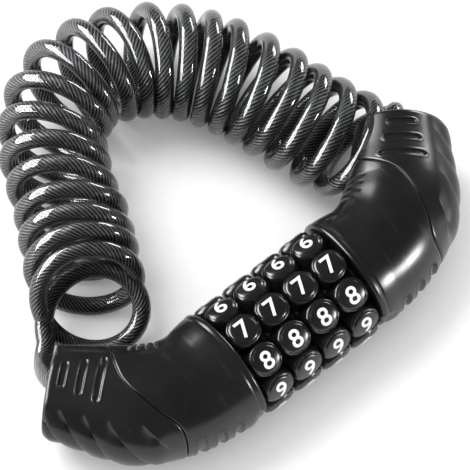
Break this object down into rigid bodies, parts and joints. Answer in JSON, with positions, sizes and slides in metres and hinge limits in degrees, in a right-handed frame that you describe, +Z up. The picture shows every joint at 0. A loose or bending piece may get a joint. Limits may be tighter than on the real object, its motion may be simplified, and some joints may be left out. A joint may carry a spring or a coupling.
{
  "type": "spiral cable lock",
  "caption": "Combination cable lock: coiled steel cable between two bent end housings, number dials on a core, and a bolt that pulls out.",
  "frame": {"origin": "on the table under the middle of the two housings' outline", "axes": "+X along the dial axis towards the housing that pulls out, +Y towards the coil, +Z up from the table"},
  "size_m": [0.1146, 0.1019, 0.0284],
  "materials": {
    "housing": "black satin-gloss moulded plastic",
    "dial": "black satin moulded plastic",
    "digit": "white raised digits",
    "steel": "plated steel",
    "spring_steel": "tempered spring steel",
    "cable": "clear smoky jacket over a steel wire rope"
  },
  "bodies": {
    "core_half": {"left_elbow": "housing", "left_end_cap": "housing", "core_tube": "steel", "core_pin": "steel", "thrust_washer": "spring_steel", "retaining_ring": "steel", "detent_spring": "spring_steel", "left_ferrule": "steel", "left_ferrule_pin": "steel", "left_lead": "cable", "coil_cable": "cable"},
    "bolt_half": {"right_elbow": "housing", "right_end_cap": "housing", "locking_bolt": "steel", "bolt_sleeve": "steel", "bolt_pin": "steel", "right_ferrule": "steel", "right_ferrule_pin": "steel", "right_lead": "cable"},
    "dial_wheel_1": {"dial_1": "dial", "clutch_ring_1": "steel"},
    "dial_wheel_2": {"dial_2": "dial", "clutch_ring_2": "steel"},
    "dial_wheel_3": {"dial_3": "dial", "clutch_ring_3": "steel"},
    "dial_wheel_4": {"dial_4": "dial", "clutch_ring_4": "steel"}
  },
  "joints": [
    {"name": "dial_1_turn", "type": "hinge", "parent": "core_half", "child": "dial_wheel_1", "pos_m": [-0.01215, -0.00595, 0.0142], "axis": [1, 0, 0], "continuous": true},
    {"name": "dial_2_turn", "type": "hinge", "parent": "core_half", "child": "dial_wheel_2", "pos_m": [-0.00405, -0.00595, 0.0142], "axis": [1, 0, 0], "continuous": true},
    {"name": "dial_3_turn", "type": "hinge", "parent": "core_half", "child": "dial_wheel_3", "pos_m": [0.00405, -0.00595, 0.0142], "axis": [1, 0, 0], "continuous": true},
    {"name": "dial_4_turn", "type": "hinge", "parent": "core_half", "child": "dial_wheel_4", "pos_m": [0.01215, -0.00595, 0.0142], "axis": [1, 0, 0], "continuous": true},
    {"name": "bolt_pull", "type": "slide", "parent": "core_half", "child": "bolt_half", "axis": [1, 0, 0], "range_m": [0, 0.04]}
  ]
}
